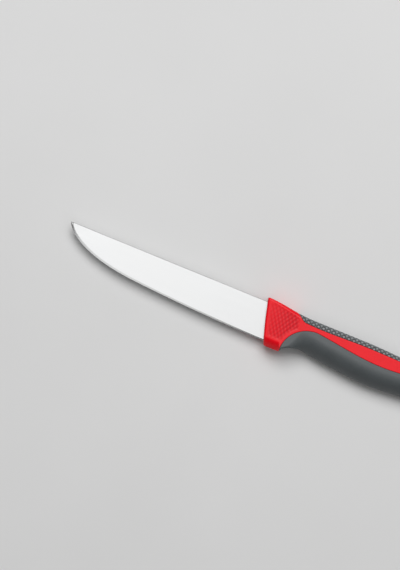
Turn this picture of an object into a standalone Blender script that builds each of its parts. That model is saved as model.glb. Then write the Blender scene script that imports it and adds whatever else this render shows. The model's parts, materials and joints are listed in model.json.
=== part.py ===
"""Vegetable knife: a ground steel blade whose tang is moulded into a two-colour handle.

The knife lies on its side. X runs from the point of the blade to the butt of the handle, Y from the
cutting edge to the spine, and Z through the thickness. Shapes are drawn from one drawing origin, which
is where the spine of the blade meets the bolster, on the middle plane. All sizes are in metres.
"""

import bisect
import math

import bmesh
import bpy

# Clearance between neighbouring pieces
FIT_GAP = 0.0003

# Blade: side view
BLADE_LENGTH = 0.120
BLADE_HEIGHT = 0.0212
EDGE_RISE = 0.0036          # the edge lies this much nearer the spine at the belly than at the heel
BELLY_FROM_POINT = 0.045    # where the curve of the belly runs out into the long flat of the edge
BELLY_GRADE = 0.08          # slope of the edge there
BELLY_PULL = 0.033
POINT_HEIGHT = 0.0002
POINT_ANGLE = math.radians(72.5)
POINT_PULL = 0.0045

# Blade: section
BLADE_THICKNESS = 0.0018
BEVEL_WIDTH = 0.0007        # at the heel
BEVEL_WIDTH_POINT = 0.0012
BEVEL_SHARE = 0.5           # near the point the bevel takes at most this share of the depth
BEVEL_THICKNESS = 0.0005
EDGE_THICKNESS = 0.0001

# Tang
HEEL_DEPTH = 0.011          # how far the full height of the blade runs into the bolster
GRIND_END = 0.004           # where the ground faces begin to run out, inside the bolster
TANG_LENGTH = 0.085
TANG_HEIGHT = 0.009
TANG_END_HEIGHT = 0.007
TANG_FILLET = 0.0015
TANG_HOLE_RADIUS = 0.002
TANG_HOLE_FRONT = 0.032
TANG_HOLE_REAR = 0.068

# Handle: overall
HANDLE_LENGTH = 0.122
HANDLE_THICKNESS = 0.016
BOLSTER_THICKNESS = 0.0136
BOLSTER_LENGTH = 0.014      # the sides reach their full thickness here

# Bolster and finger guard: side view
GUARD_LIP = 0.0026          # plastic below the heel of the blade
GUARD_END = 0.0159
GUARD_STEP = 0.0009         # the soft grip starts this much above the underside of the guard
GUARD_STEP_RUN = 0.0004
FRONT_LEAN = 0.0069         # the foot of the front face lies this far behind its top
FRONT_BOW = 0.0003
FRONT_RADIUS = 0.0011
LEAN_RUN = 0.030            # the lean of the front face has faded out this far along

# Back of the handle: side view
BOLSTER_RISE = 0.0027
SHOULDER_AT = 0.0045
SHOULDER_RISE = 0.0024
SLOPE_END_AT = 0.0215
SLOPE_END_RISE = 0.00035
BACK_FLAT_START = 0.0283
BACK_FLAT_END = 0.061
BACK_BEND_AT = 0.081
BACK_BEND_DROP = 0.00075
BACK_END_DROP = 0.0055

# Belly of the handle: side view
NOTCH_AT = 0.0271
NOTCH_DROP = 0.0185
NOTCH_FULLNESS = 1.7
SWELL_AT = 0.044
SWELL_DROP = 0.0208
PALM_AT = 0.0695
PALM_DROP = 0.02285
WAIST_FROM_BUTT = 0.023
WAIST_DROP = 0.0212
BEAK_FROM_BUTT = 0.008
BEAK_DROP = 0.0256

# Butt: how far before the end each side starts to round off, and where the rounding meets
BUTT_DROP = 0.0155
BUTT_BACK_RUN = 0.018
BUTT_BELLY_RUN = 0.0085
BUTT_SIDE_RUN = 0.012

# Section of the handle: the rounding of its edges, across the thickness and down the side
BACK_ROUND_ACROSS_FRONT = 0.0012
BACK_ROUND_ACROSS = 0.0040
BACK_ROUND_DOWN_FRONT = 0.0010
BACK_ROUND_DOWN = 0.0026
GUARD_ROUND_ACROSS = 0.0045
GUARD_ROUND_DOWN = 0.0052
GUARD_ROUND_END = 0.0108    # stations between which the guard's rounding turns into the notch's
NOTCH_ROUND_START = 0.0129
NOTCH_ROUND_ACROSS = 0.0007
NOTCH_ROUND_DOWN = 0.0010
NOTCH_ACROSS_END = 0.020    # and between which the notch's turns into the palm's
PALM_ACROSS_START = 0.0295
NOTCH_DOWN_END = 0.0185
PALM_DOWN_START = 0.0262
PALM_ROUND_ACROSS = 0.0077
PALM_ROUND_DOWN = 0.0106
BEND_LEAD = 0.60            # the belly bends slowly where it leaves the side, and tightly at its foot
GUARD_BEND_LEAD = 0.35
BEND_FOOT = 0.10
BACK_SHARE = 0.35           # of the height of a section, at most, goes to the rounding of the back
SMALLEST_FLAT = 0.0003

# Parting lines between the hard core and the soft grips: side view
STRIPE_NECK_AT = 0.0328
STRIPE_NECK_DROP = 0.00585
STRIPE_LOW_AT = 0.0725
STRIPE_LOW_DROP = 0.00992
STRIPE_WAIST_DROP = 0.0078
GUARD_PARTING_DROP = 0.022
BELLY_GRIP_FROM_BUTT = 0.0105
STRIP_START = 0.0184
STRIP_START_RISE = 0.0006
STRIP_SLOPE_AT = 0.0204
STRIP_SLOPE_DROP = 0.0006
STRIP_TURN_AT = 0.0221
STRIP_TURN_DROP = 0.0021
STRIP_FULL_AT = 0.0242
STRIP_DROP = 0.0031
STRIP_WIDE_AT = 0.036
STRIP_WIDE_DROP = 0.00347
STRIP_NARROW_AT = 0.061
STRIP_NARROW_DROP = 0.00287
STRIP_BEND_AT = 0.081
STRIP_BEND_DROP = 0.00315
STRIP_TAIL_FROM_BUTT = 0.016
STRIP_TAIL_DROP = 0.0059
STRIP_TAIL_RUN = 0.006
STRIP_TAIL_RISE = 0.003

# Inside of the handle
SOFT_WALL = 0.002
CARCASS_LAP = 0.005         # how far the carcass runs into the solid bolster and butt
PEG_RADIUS = 0.0016
PEG_COUNT = 3
PEG_FRONT = 0.056
PEG_REAR = 0.084
KEEL_WIDTH = 0.0024
KEEL_START = 0.034
KEEL_FROM_BUTT = 0.028
CUTTER_MARGIN = 0.010       # cutters stand this much clear of what they cut

# Fineness of the facets
GUARD_STATIONS = 7
NOTCH_STATIONS = 8
TURN_STATIONS = 2           # from the deepest place of the notch to where the palm has its full rounding
PALM_STATIONS = 14
BUTT_STATIONS = 2
STRIPE_STEPS = 14
STRIP_SLOPE_STEPS = 8
STRIP_STEPS = 16
KEEL_STEPS = 8
BACK_ROUND_STEPS = 4
BELLY_ROUND_STEPS = 8
FRONT_STEPS = 3
DOME_STEPS = 10
PARTING_STEPS = 9
BELLY_EDGE_STEPS = 18
HEEL_EDGE_STEPS = 12
FILLET_STEPS = 3
TANG_END_STEPS = 5
HOLE_SIDES = 20
SETTLE_STEPS = 12
HANDLE_CREASE = math.radians(35)    # sharper edges than this stay sharp in the shading
BLADE_CREASE = math.radians(4)
QUARTER_TURN = math.radians(90)

STEEL = ("steel", (0.80, 0.81, 0.81), 0.28, 1.0)
RED_PLASTIC = ("red_plastic", (0.72, 0.012, 0.028), 0.38, 0.0)
GREY_GRIP = ("grey_soft_grip", (0.120, 0.145, 0.150), 0.75, 0.0)
DARK_GREY_GRIP = ("grey_cut_grip", (0.105, 0.128, 0.134), 0.80, 0.0)

GRIND_TAPER = (BLADE_THICKNESS - BEVEL_THICKNESS) / (BLADE_HEIGHT - BEVEL_WIDTH)
GUARD_DROP = BLADE_HEIGHT + GUARD_LIP
HANDLE_HALF = HANDLE_THICKNESS / 2
WAIST_AT = HANDLE_LENGTH - WAIST_FROM_BUTT
BEAK_AT = HANDLE_LENGTH - BEAK_FROM_BUTT
TANG_MIDDLE = -NOTCH_DROP / 2


def clear_scene():
    for obj in list(bpy.data.objects):
        bpy.data.objects.remove(obj, do_unlink=True)


def mix(a, b, share):
    return a + (b - a) * share


def spread(start, end, count):
    """Evenly spaced values from start up to, and without, end."""
    return [mix(start, end, i / count) for i in range(count)]


def turn_angles(count):
    """Angles of a quarter turn in even steps, without its end."""
    return spread(0.0, QUARTER_TURN, count)


def smooth_curve(points):
    """A monotone cubic through the points: it is smooth and never overshoots them."""
    xs = [x for x, _ in points]
    ys = [y for _, y in points]
    steps = [b - a for a, b in zip(xs, xs[1:])]
    grades = [(b - a) / step for a, b, step in zip(ys, ys[1:], steps)]
    slopes = [grades[0]]
    for before, after in zip(grades, grades[1:]):
        slopes.append(2 * before * after / (before + after) if before * after > 0 else 0.0)
    slopes.append(grades[-1])

    def height(x):
        x = min(max(x, xs[0]), xs[-1])
        i = min(bisect.bisect_right(xs, x), len(xs) - 1) - 1
        t = (x - xs[i]) / steps[i]
        start = ys[i] * (1 + 2 * t) + slopes[i] * steps[i] * t
        end = ys[i + 1] * (3 - 2 * t) + slopes[i + 1] * steps[i] * (t - 1)
        return start * (1 - t) ** 2 + end * t ** 2

    return height


def quarter_round(share, fullness=2.0):
    """Height of a quarter of a superellipse: 1 at its middle (share 0) and 0 at its end (share 1)."""
    share = min(max(share, 0.0), 1.0)
    return (1 - share ** fullness) ** (1 / fullness)


# Outline of the handle

back_open = smooth_curve([
    (-FRONT_RADIUS, BOLSTER_RISE),
    (SHOULDER_AT, SHOULDER_RISE),
    (SLOPE_END_AT, SLOPE_END_RISE),
    (BACK_FLAT_START, 0.0),
    (BACK_FLAT_END, 0.0),
    (BACK_BEND_AT, -BACK_BEND_DROP),
    (HANDLE_LENGTH, -BACK_END_DROP),
])
palm_curve = smooth_curve([
    (NOTCH_AT, -NOTCH_DROP),
    (SWELL_AT, -SWELL_DROP),
    (PALM_AT, -PALM_DROP),
    (WAIST_AT, -WAIST_DROP),
    (BEAK_AT, -BEAK_DROP),
    (HANDLE_LENGTH, -BEAK_DROP),
])


def close_butt(height, x, run):
    """Draw an open outline in to the middle of the butt over the last stretch of the handle."""
    share = (x - (HANDLE_LENGTH - run)) / run
    return mix(-BUTT_DROP, height, quarter_round(share))


def back_at(x):
    return close_butt(back_open(x), x, BUTT_BACK_RUN)


def belly_at(x):
    grip_start = GUARD_END + GUARD_STEP_RUN
    if x <= GUARD_END:
        return -GUARD_DROP
    if x <= grip_start:
        return -GUARD_DROP + GUARD_STEP * (x - GUARD_END) / GUARD_STEP_RUN
    if x <= NOTCH_AT:
        share = (NOTCH_AT - x) / (NOTCH_AT - grip_start)
        rise = GUARD_DROP - GUARD_STEP - NOTCH_DROP
        return -NOTCH_DROP - rise * (1 - quarter_round(share, NOTCH_FULLNESS))
    return close_butt(palm_curve(x), x, BUTT_BELLY_RUN)


side_open = smooth_curve([
    (0.0, BOLSTER_THICKNESS / 2),
    (BOLSTER_LENGTH, HANDLE_HALF),
    (HANDLE_LENGTH, HANDLE_HALF),
])


belly_across_at = smooth_curve([
    (0.0, GUARD_ROUND_ACROSS),
    (GUARD_ROUND_END, GUARD_ROUND_ACROSS),
    (NOTCH_ROUND_START, NOTCH_ROUND_ACROSS),
    (NOTCH_ACROSS_END, NOTCH_ROUND_ACROSS),
    (PALM_ACROSS_START, PALM_ROUND_ACROSS),
    (HANDLE_LENGTH, PALM_ROUND_ACROSS),
])
belly_down_at = smooth_curve([
    (0.0, GUARD_ROUND_DOWN),
    (GUARD_ROUND_END, GUARD_ROUND_DOWN),
    (NOTCH_ROUND_START, NOTCH_ROUND_DOWN),
    (NOTCH_DOWN_END, NOTCH_ROUND_DOWN),
    (PALM_DOWN_START, PALM_ROUND_DOWN),
    (HANDLE_LENGTH, PALM_ROUND_DOWN),
])
belly_lead_at = smooth_curve([
    (0.0, GUARD_BEND_LEAD),
    (GUARD_ROUND_END, GUARD_BEND_LEAD),
    (NOTCH_ROUND_START, BEND_LEAD),
    (HANDLE_LENGTH, BEND_LEAD),
])


def side_closing(s):
    return quarter_round((s - (HANDLE_LENGTH - BUTT_SIDE_RUN)) / BUTT_SIDE_RUN)


# The front face leans back, so a section of the bolster leans with it

def lean(y):
    share = -y / GUARD_DROP
    return FRONT_LEAN * share - 4 * FRONT_BOW * share * (1 - share)


def leaned(s, y):
    """Place along the handle of a point at height y on the section with station s."""
    return s + lean(y) * max(0.0, 1 - s / LEAN_RUN)


def height_at_station(line, s):
    """Height at which a leaning section meets an outline."""
    x = s
    for _ in range(SETTLE_STEPS):
        x = leaned(s, line(x))
    return line(x)


def station_of(x, y):
    """Station of the section through a point of the side view."""
    if x >= LEAN_RUN:
        return x
    return (x - lean(y)) / (1 - lean(y) / LEAN_RUN)


def back_rounding(top, down, half, across):
    """Points of the rounded edge of the back, from its flat round to the side."""
    points = []
    for angle in turn_angles(BACK_ROUND_STEPS) + [QUARTER_TURN]:
        points.append((top - down * (1 - math.cos(angle)), half - across * (1 - math.sin(angle))))
    return points


def belly_rounding(bottom, down, half, across, bend_lead):
    """Points of the rounded edge of the belly, from the side round to its flat, on a cubic curve."""
    points = []
    for t in spread(0.0, 1.0, BELLY_ROUND_STEPS) + [1.0]:
        lead, foot, end = 3 * t * (1 - t) ** 2, 3 * t ** 2 * (1 - t), t ** 3
        fallen = bend_lead * lead + foot + end
        drawn_in = end + (1 - BEND_FOOT) * foot
        points.append((bottom + down * (1 - fallen), half - across * drawn_in))
    return points


def half_section(s, inset=0.0):
    """One side of the section of the handle at station s, from the back down to the belly."""
    closing = side_closing(s)
    if s < FRONT_RADIUS:
        inset += FRONT_RADIUS - math.sqrt(FRONT_RADIUS ** 2 - (FRONT_RADIUS - s) ** 2)
    half = side_open(s) * closing - inset
    top = height_at_station(back_at, s) - inset
    bottom = height_at_station(belly_at, s) + inset
    share = min(s / BACK_FLAT_START, 1.0)

    def size(wanted, limit):
        return max(min(wanted - inset, limit - SMALLEST_FLAT), SMALLEST_FLAT)

    back_down = size(mix(BACK_ROUND_DOWN_FRONT, BACK_ROUND_DOWN, share), (top - bottom) * BACK_SHARE)
    back_across = size(mix(BACK_ROUND_ACROSS_FRONT, BACK_ROUND_ACROSS, share) * closing, half)
    belly_down = size(belly_down_at(s), (top - bottom) * (1 - BACK_SHARE))
    belly_across = size(belly_across_at(s) * closing, half)
    points = back_rounding(top, back_down, half, back_across)
    points += belly_rounding(bottom, belly_down, half, belly_across, belly_lead_at(s))
    return [(leaned(s, y), y, z) for y, z in points]


# Mesh building

def new_object(name, bm):
    bmesh.ops.recalc_face_normals(bm, faces=bm.faces[:])
    mesh = bpy.data.meshes.new(name)
    bm.to_mesh(mesh)
    bm.free()
    obj = bpy.data.objects.new(name, mesh)
    bpy.context.scene.collection.objects.link(obj)
    return obj


def shade_round(obj, crease):
    obj.data.shade_smooth()
    obj.data.set_sharp_from_angle(angle=crease)


def loft(name, sections):
    """A closed body through half sections and their mirror images."""
    bm = bmesh.new()
    rings = []
    for section in sections:
        right = [bm.verts.new(point) for point in section]
        left = [bm.verts.new((x, y, -z)) for x, y, z in section]
        rings.append(right + left[::-1])
    count = len(rings[0])
    for ring, following in zip(rings, rings[1:]):
        for i in range(count):
            j = (i + 1) % count
            bm.faces.new((ring[i], ring[j], following[j], following[i]))
    for ring in (rings[0], rings[-1]):
        for i in range(count // 2 - 1):
            bm.faces.new((ring[i], ring[i + 1], ring[count - 2 - i], ring[count - 1 - i]))
    obj = new_object(name, bm)
    shade_round(obj, HANDLE_CREASE)
    return obj


def prism(name, outline, half_depth):
    """A closed side-view outline, extruded through the middle plane."""
    bm = bmesh.new()
    near = [bm.verts.new((x, y, -half_depth)) for x, y in outline]
    far = [bm.verts.new((x, y, half_depth)) for x, y in outline]
    bm.faces.new(near)
    bm.faces.new(far)
    for i in range(len(outline)):
        j = (i + 1) % len(outline)
        bm.faces.new((near[i], near[j], far[j], far[i]))
    return new_object(name, bm)


def round_bars(name, centres, radius, half_depth):
    """Round bars through the middle plane, as one object."""
    bm = bmesh.new()
    for x, y in centres:
        made = bmesh.ops.create_cone(
            bm, cap_ends=True, segments=HOLE_SIDES, radius1=radius, radius2=radius, depth=2 * half_depth)
        bmesh.ops.translate(bm, verts=made["verts"], vec=(x, y, 0.0))
    return new_object(name, bm)


def inward(outline, distance):
    """The same outline with every side moved in by a distance; it runs counterclockwise."""
    moved = []
    for i, (x, y) in enumerate(outline):
        before = outline[i - 1]
        after = outline[(i + 1) % len(outline)]
        normals = []
        for start, end in ((before, (x, y)), ((x, y), after)):
            length = math.dist(start, end)
            normals.append(((start[1] - end[1]) / length, (end[0] - start[0]) / length))
        sum_x = normals[0][0] + normals[1][0]
        sum_y = normals[0][1] + normals[1][1]
        scale = 2 * distance / (sum_x ** 2 + sum_y ** 2)
        moved.append((x + sum_x * scale, y + sum_y * scale))
    return moved


def hide_cutter(obj):
    obj.hide_render = True
    obj.display_type = "WIRE"


def combine(target, operation, tool):
    hide_cutter(tool)
    modifier = target.modifiers.new(f"{operation.lower()}_{tool.name}", "BOOLEAN")
    modifier.operation = operation
    modifier.solver = "EXACT"
    modifier.object = tool


def paint(obj, finish):
    name, color, roughness, metallic = finish
    material = bpy.data.materials.new(name)
    material.use_nodes = True
    shader = material.node_tree.nodes["Principled BSDF"]
    shader.inputs["Base Color"].default_value = (*color, 1.0)
    shader.inputs["Roughness"].default_value = roughness
    shader.inputs["Metallic"].default_value = metallic
    obj.data.materials.append(material)


# Blade and tang

def edge_line():
    """Points of the cutting edge, as (distance from the point, depth below the spine)."""
    belly_depth = BLADE_HEIGHT - EDGE_RISE
    first = (0.0, POINT_HEIGHT)
    second = (POINT_PULL * math.cos(POINT_ANGLE), POINT_HEIGHT + POINT_PULL * math.sin(POINT_ANGLE))
    third = (BELLY_FROM_POINT - BELLY_PULL, belly_depth - BELLY_GRADE * BELLY_PULL)
    fourth = (BELLY_FROM_POINT, belly_depth)
    points = []
    for t in spread(0.0, 1.0, BELLY_EDGE_STEPS):
        weights = ((1 - t) ** 3, 3 * t * (1 - t) ** 2, 3 * t ** 2 * (1 - t), t ** 3)
        x = sum(w * p[0] for w, p in zip(weights, (first, second, third, fourth)))
        y = sum(w * p[1] for w, p in zip(weights, (first, second, third, fourth)))
        points.append((x, y))
    run = BLADE_LENGTH - BELLY_FROM_POINT
    bend = EDGE_RISE - BELLY_GRADE * run
    for t in spread(0.0, 1.0, HEEL_EDGE_STEPS):
        x = mix(BELLY_FROM_POINT, BLADE_LENGTH, t)
        points.append((x, belly_depth + BELLY_GRADE * run * t + bend * t ** 2))
    for t in (0.0, GRIND_END / HEEL_DEPTH, 1.0):
        points.append((BLADE_LENGTH + HEEL_DEPTH * t, BLADE_HEIGHT))
    return points


def blade_columns(grow, lead):
    """Columns of the blade as rows of (x, y, half thickness), starting a distance before the bolster."""
    points = edge_line()
    neck = TANG_HEIGHT / 2 + TANG_FILLET + grow
    columns = []
    for i, (run, depth) in enumerate(points):
        x = run - BLADE_LENGTH
        if x < -lead:
            continue
        before = points[max(i - 1, 0)]
        after = points[min(i + 1, len(points) - 1)]
        grade = (after[1] - before[1]) / (after[0] - before[0])
        share = min(run / BLADE_LENGTH, 1.0)
        bevel = mix(BEVEL_WIDTH_POINT, BEVEL_WIDTH, share) * math.hypot(1.0, grade)
        bevel_depth = depth - min(bevel, depth * BEVEL_SHARE)
        bevel_top = mix(EDGE_THICKNESS, BEVEL_THICKNESS, (depth - bevel_depth) / bevel)
        heel_bevel = BLADE_HEIGHT - BEVEL_WIDTH
        neck_top = (-TANG_MIDDLE - neck) / heel_bevel * bevel_depth
        neck_low = (-TANG_MIDDLE + neck) / heel_bevel * bevel_depth
        spine = bevel_top + GRIND_TAPER * bevel_depth
        ground = min(max((x - GRIND_END) / (HEEL_DEPTH - GRIND_END), 0.0), 1.0)
        rows = []
        for y in (0.0, neck_top, neck_low, bevel_depth):
            thickness = mix(mix(spine, bevel_top, y / bevel_depth), BLADE_THICKNESS, ground)
            rows.append([x, -y, thickness / 2 + grow])
        rows.append([x, -depth - grow, mix(EDGE_THICKNESS, BLADE_THICKNESS, ground) / 2 + grow])
        rows[0][1] += grow
        columns.append(rows)
    for row in columns[-1]:
        row[0] += grow
    return columns


def tang_columns(grow):
    """Columns of the tang behind the heel; only the two rows of its own edges are filled."""
    start = HEEL_DEPTH + grow
    fillet = TANG_FILLET - grow
    end = TANG_LENGTH + grow
    end_round = TANG_END_HEIGHT / 2 + grow
    places = []
    for angle in turn_angles(FILLET_STEPS)[1:] + [QUARTER_TURN]:
        places.append((start + fillet * (1 - math.cos(angle)), fillet * (1 - math.sin(angle))))
    for angle in turn_angles(TANG_END_STEPS):
        places.append((end - end_round * (1 - math.sin(angle)), end_round * (math.cos(angle) - 1)))
    columns = []
    for x, extra in places:
        share = (x - start) / (end - start)
        half_height = mix(TANG_HEIGHT / 2, TANG_END_HEIGHT / 2, share) + grow + extra
        half = BLADE_THICKNESS / 2 + grow
        top = [x, TANG_MIDDLE + half_height, half]
        low = [x, TANG_MIDDLE - half_height, half]
        columns.append([None, top, low, None, None])
    return columns


def plate(name, columns):
    """A flat body from a grid of columns and rows, with both faces at their half thickness."""
    bm = bmesh.new()
    verts = {}
    for i, rows in enumerate(columns):
        for r, row in enumerate(rows):
            if row:
                x, y, half = row
                verts[i, r] = (bm.verts.new((x, y, half)), bm.verts.new((x, y, -half)))
    cells = set()
    for i in range(len(columns) - 1):
        for r in range(len(columns[0]) - 1):
            if all(key in verts for key in ((i, r), (i + 1, r), (i, r + 1), (i + 1, r + 1))):
                cells.add((i, r))
    for i, r in cells:
        corners = [verts[i, r], verts[i + 1, r], verts[i + 1, r + 1], verts[i, r + 1]]
        bm.faces.new([pair[0] for pair in corners])
        bm.faces.new([pair[1] for pair in reversed(corners)])
        neighbours = ((i, r - 1), (i + 1, r), (i, r + 1), (i - 1, r))
        for k, neighbour in enumerate(neighbours):
            if neighbour not in cells:
                first = corners[k]
                second = corners[(k + 1) % 4]
                bm.faces.new((first[0], first[1], second[1], second[0]))
    obj = new_object(name, bm)
    shade_round(obj, BLADE_CREASE)
    return obj


def tang_holes():
    return [(TANG_HOLE_FRONT, TANG_MIDDLE), (TANG_HOLE_REAR, TANG_MIDDLE)]


def make_blade():
    blade = plate("blade", blade_columns(0.0, BLADE_LENGTH) + tang_columns(0.0))
    combine(blade, "DIFFERENCE", round_bars("tang_hole_cutter", tang_holes(), TANG_HOLE_RADIUS, HANDLE_HALF))
    paint(blade, STEEL)
    return blade


def make_pocket():
    """The room for the heel and the tang inside the core, with the pegs through the tang left standing."""
    pocket = plate("tang_pocket_cutter", blade_columns(FIT_GAP, CUTTER_MARGIN) + tang_columns(FIT_GAP))
    pegs = round_bars("tang_peg_guide", tang_holes(), TANG_HOLE_RADIUS - FIT_GAP, HANDLE_HALF)
    combine(pocket, "DIFFERENCE", pegs)
    return pocket


# Handle

def handle_stations():
    guard = station_of(GUARD_END, -GUARD_DROP)
    step = station_of(GUARD_END + GUARD_STEP_RUN, GUARD_STEP - GUARD_DROP)
    notch = station_of(NOTCH_AT, -NOTCH_DROP)
    butt = HANDLE_LENGTH - BUTT_BACK_RUN
    dome = HANDLE_LENGTH - BUTT_SIDE_RUN
    stations = [FRONT_RADIUS * (1 - math.cos(angle)) for angle in turn_angles(FRONT_STEPS)]
    stations += spread(FRONT_RADIUS, guard, GUARD_STATIONS)
    stations += [guard]
    stations += spread(step, notch, NOTCH_STATIONS)
    stations += spread(notch, PALM_ACROSS_START, TURN_STATIONS)
    stations += spread(PALM_ACROSS_START, WAIST_AT, PALM_STATIONS)
    stations += [WAIST_AT]
    stations += spread(butt, dome, BUTT_STATIONS)
    stations += [mix(dome, HANDLE_LENGTH, math.sin(angle)) for angle in turn_angles(DOME_STEPS)]
    return stations


def handle_blank(name):
    """The whole outer form of the handle, before it is parted into its mouldings."""
    return loft(name, [half_section(s) for s in handle_stations()])


def carcass(name, inset):
    """The inside of the core, which carries the soft grips: the handle's form less the soft wall."""
    start = GUARD_END - CARCASS_LAP
    end = HANDLE_LENGTH - BELLY_GRIP_FROM_BUTT + CARCASS_LAP
    notch = station_of(NOTCH_AT, -NOTCH_DROP)
    stations = spread(start, notch, NOTCH_STATIONS)
    stations += spread(notch, PALM_ACROSS_START, TURN_STATIONS)
    stations += spread(PALM_ACROSS_START, end, PALM_STATIONS) + [end]
    return loft(name, [half_section(s, inset) for s in stations])


def belly_parting():
    """Side view of the belly grip's room: under the stripe, between the guard and the butt."""
    neck_run = STRIPE_NECK_AT - GUARD_END
    neck_rise = GUARD_PARTING_DROP - STRIPE_NECK_DROP
    end = HANDLE_LENGTH - BELLY_GRIP_FROM_BUTT
    tail_run = end - WAIST_AT
    tail_rise = GUARD_PARTING_DROP - STRIPE_WAIST_DROP
    stripe = smooth_curve([
        (STRIPE_NECK_AT, -STRIPE_NECK_DROP),
        (STRIPE_LOW_AT, -STRIPE_LOW_DROP),
        (WAIST_AT, -STRIPE_WAIST_DROP),
    ])
    points = [(GUARD_END, -GUARD_DROP - CUTTER_MARGIN)]
    for angle in spread(QUARTER_TURN, 0.0, PARTING_STEPS):
        points.append((STRIPE_NECK_AT - neck_run * math.sin(angle),
                       -GUARD_PARTING_DROP + neck_rise * math.cos(angle)))
    for x in spread(STRIPE_NECK_AT, WAIST_AT, STRIPE_STEPS):
        points.append((x, stripe(x)))
    for angle in turn_angles(PARTING_STEPS):
        points.append((WAIST_AT + tail_run * math.sin(angle),
                       -GUARD_PARTING_DROP + tail_rise * math.cos(angle)))
    points.append((end, -GUARD_PARTING_DROP))
    points.append((end, -GUARD_DROP - CUTTER_MARGIN))
    return points[::-1]


def strip_parting():
    """Side view of the spine grip's room: above the stripe."""
    tail = HANDLE_LENGTH - STRIP_TAIL_FROM_BUTT
    line = smooth_curve([
        (STRIP_START, STRIP_START_RISE),
        (STRIP_SLOPE_AT, -STRIP_SLOPE_DROP),
        (STRIP_TURN_AT, -STRIP_TURN_DROP),
        (STRIP_FULL_AT, -STRIP_DROP),
        (STRIP_WIDE_AT, -STRIP_WIDE_DROP),
        (STRIP_NARROW_AT, -STRIP_NARROW_DROP),
        (STRIP_BEND_AT, -STRIP_BEND_DROP),
        (tail, -STRIP_TAIL_DROP),
    ])
    points = [(STRIP_START, CUTTER_MARGIN)]
    points += [(x, line(x)) for x in spread(STRIP_START, STRIP_FULL_AT, STRIP_SLOPE_STEPS)]
    points += [(x, line(x)) for x in spread(STRIP_FULL_AT, tail, STRIP_STEPS)]
    for angle in turn_angles(PARTING_STEPS):
        points.append((tail + STRIP_TAIL_RUN * math.sin(angle),
                       -STRIP_TAIL_DROP + STRIP_TAIL_RISE * (1 - math.cos(angle))))
    points.append((tail + STRIP_TAIL_RUN, STRIP_TAIL_RISE - STRIP_TAIL_DROP))
    points.append((tail + STRIP_TAIL_RUN, CUTTER_MARGIN))
    return points


def peg_centres():
    """Middles of the pegs that key the belly grip, half way between the tang and the foot of the carcass."""
    tang_foot = TANG_MIDDLE - TANG_HEIGHT / 2 - FIT_GAP
    centres = []
    for i in range(PEG_COUNT):
        x = mix(PEG_FRONT, PEG_REAR, i / (PEG_COUNT - 1))
        centres.append((x, (tang_foot + palm_curve(x) + SOFT_WALL) / 2))
    return centres


def keel_outline(grow):
    """Side view of the keel under the spine grip, which reaches half way down to the tang."""
    depth = (-TANG_MIDDLE - TANG_HEIGHT / 2 - FIT_GAP - SOFT_WALL) / 2 + grow
    start = KEEL_START - grow
    end = HANDLE_LENGTH - KEEL_FROM_BUTT + grow
    places = spread(start, end, KEEL_STEPS) + [end]
    low = [(x, back_at(x) - SOFT_WALL - depth) for x in places]
    high = [(x, back_at(x) - SOFT_WALL / 2) for x in reversed(places)]
    return low + high


def make_core():
    core = handle_blank("handle_core")
    combine(core, "DIFFERENCE", prism("belly_room_cutter", belly_parting(), HANDLE_THICKNESS))
    combine(core, "DIFFERENCE", prism("strip_room_cutter", strip_parting(), HANDLE_THICKNESS))
    combine(core, "UNION", carcass("carcass_form", SOFT_WALL))
    keel_room = prism("keel_room_cutter", keel_outline(FIT_GAP), KEEL_WIDTH / 2 + FIT_GAP)
    combine(core, "DIFFERENCE", keel_room)
    windows = round_bars("window_cutter", peg_centres(), PEG_RADIUS + FIT_GAP, HANDLE_THICKNESS)
    combine(core, "DIFFERENCE", windows)
    combine(core, "DIFFERENCE", make_pocket())
    paint(core, RED_PLASTIC)
    return core


def make_belly_grip(carcass_room):
    grip = handle_blank("belly_grip")
    combine(grip, "INTERSECT", prism("belly_grip_form", inward(belly_parting(), FIT_GAP), HANDLE_THICKNESS))
    combine(grip, "DIFFERENCE", carcass_room)
    pegs = round_bars("belly_peg_form", peg_centres(), PEG_RADIUS, HANDLE_THICKNESS)
    combine(pegs, "INTERSECT", carcass("peg_length_form", SOFT_WALL / 2))
    combine(grip, "UNION", pegs)
    paint(grip, GREY_GRIP)
    return grip


def make_spine_grip(carcass_room):
    grip = handle_blank("spine_grip")
    combine(grip, "INTERSECT", prism("spine_grip_form", inward(strip_parting(), FIT_GAP), HANDLE_THICKNESS))
    combine(grip, "DIFFERENCE", carcass_room)
    combine(grip, "UNION", prism("keel_form", keel_outline(0.0), KEEL_WIDTH / 2))
    paint(grip, DARK_GREY_GRIP)
    return grip


def stand_on_origin(pieces):
    """Carry every piece on one frame that puts the middle of the knife's underside at the origin."""
    corners = []
    for s in handle_stations():
        corners += half_section(s)
    for rows in blade_columns(0.0, BLADE_LENGTH):
        corners += [tuple(row) for row in rows]
    low_x = min(x for x, _, _ in corners)
    high_x = max(x for x, _, _ in corners)
    low_y = min(y for _, y, _ in corners)
    high_y = max(y for _, y, _ in corners)
    knife = bpy.data.objects.new("knife_frame", None)
    bpy.context.scene.collection.objects.link(knife)
    knife.location = (-(low_x + high_x) / 2, -(low_y + high_y) / 2, HANDLE_HALF)
    for piece in pieces:
        piece.parent = knife


def main():
    clear_scene()
    carcass_room = carcass("carcass_room_cutter", SOFT_WALL - FIT_GAP)
    make_blade()
    make_core()
    make_belly_grip(carcass_room)
    make_spine_grip(carcass_room)
    stand_on_origin(list(bpy.data.objects))


main()
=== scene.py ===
"""Looks of the vegetable knife: fine meshes, materials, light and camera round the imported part.

Shapes are drawn in the drawing frame of the part: X from the point to the butt, Y from the cutting edge to
the spine, Z through the thickness, from the place where the spine of the blade meets the bolster, on the
middle plane. Body.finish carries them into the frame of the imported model. All sizes are in metres.
"""
import json
import math

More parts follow.
